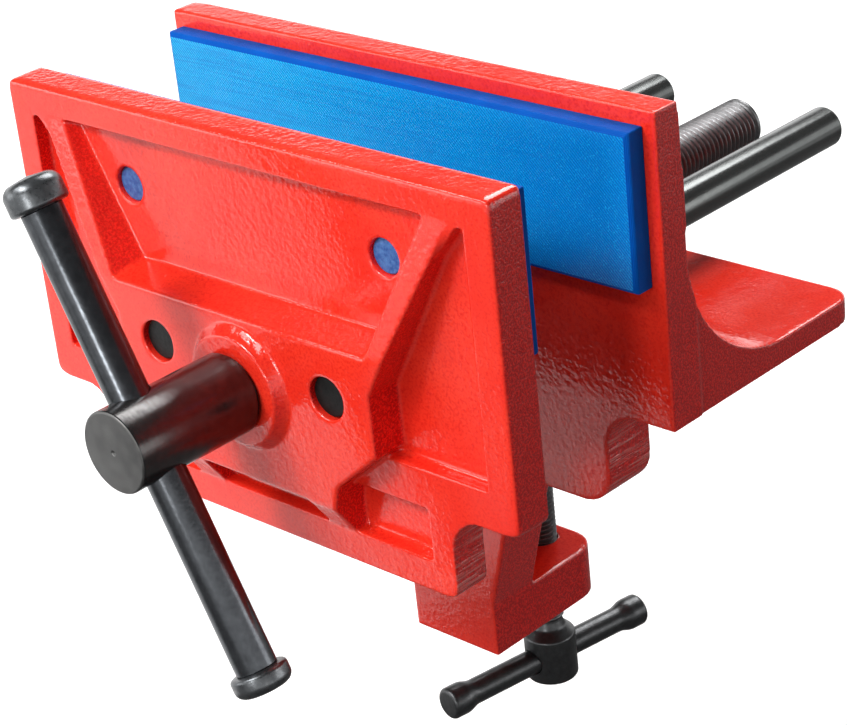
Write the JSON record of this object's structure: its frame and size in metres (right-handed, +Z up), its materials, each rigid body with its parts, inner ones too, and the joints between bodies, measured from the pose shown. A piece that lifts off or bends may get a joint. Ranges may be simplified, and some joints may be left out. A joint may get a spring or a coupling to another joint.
{
  "type": "clamp-on woodworking vise",
  "caption": "Table-edge woodworking vise with a sliding front jaw on guide rods, plastic jaw pads, a lead screw with a sliding handle and a screw clamp underneath.",
  "frame": {"origin": "on the table seat under the shelf, on the clamp screw's axis", "axes": "+X along the jaws, +Y from the handle toward the back of the table, +Z up"},
  "size_m": [0.175, 0.2571, 0.2124],
  "materials": {
    "red_paint": "glossy enamel on rough iron casting",
    "blue_plastic": "satin with fine layer lines",
    "black_steel": "blackened and oiled",
    "bare_steel": "satin",
    "bronze": "turned"
  },
  "bodies": {
    "base": {"rear_jaw": "red_paint", "rear_pad": "blue_plastic", "lead_nut": "bronze", "nut_key": "bare_steel"},
    "front": {"front_jaw": "red_paint", "front_pad": "blue_plastic", "rod_left": "black_steel", "rod_right": "black_steel", "rod_pins": "bare_steel"},
    "spindle": {"lead_screw": "black_steel", "thrust_washer": "black_steel", "screw_collar": "black_steel", "collar_pin": "bare_steel"},
    "handle": {"handle_bar": "black_steel", "handle_cap_upper": "black_steel", "handle_cap_lower": "black_steel"},
    "foot": {"clamp_foot": "black_steel", "foot_ring": "bare_steel"},
    "clamp": {"clamp_screw": "black_steel"},
    "tee": {"tbar": "black_steel", "tbar_end_front": "black_steel", "tbar_end_back": "black_steel"}
  },
  "joints": [
    {"name": "jaw_slide", "type": "slide", "parent": "base", "child": "front", "axis": [0, -1, 0], "range_m": [-0.0361, 0.1001]},
    {"name": "screw_turn", "type": "hinge", "parent": "front", "child": "spindle", "pos_m": [0, -0.12, 0.0188], "axis": [0, -1, 0], "range_deg": [-6480, 18000]},
    {"name": "handle_slide", "type": "slide", "parent": "spindle", "child": "handle", "axis": [-0.4478, 0, 0.8942], "range_m": [-0.0502, 0.0532]},
    {"name": "clamp_lift", "type": "slide", "parent": "base", "child": "foot", "axis": [0, 0, 1], "range_m": [-0.0496, 0.0111]},
    {"name": "clamp_turn", "type": "hinge", "parent": "foot", "child": "clamp", "pos_m": [0, 0, -0.1], "axis": [0, 0, 1], "range_deg": [-11880, 2640]},
    {"name": "tbar_slide", "type": "slide", "parent": "clamp", "child": "tee", "axis": [0.1702, 0.9854, 0], "range_m": [-0.0173, 0.0217]}
  ],
  "couplings": [
    {"joint": "jaw_slide", "follows": "screw_turn", "m_per_rad": 0.00031831},
    {"joint": "clamp_lift", "follows": "clamp_turn", "m_per_rad": 0.00023873}
  ]
}
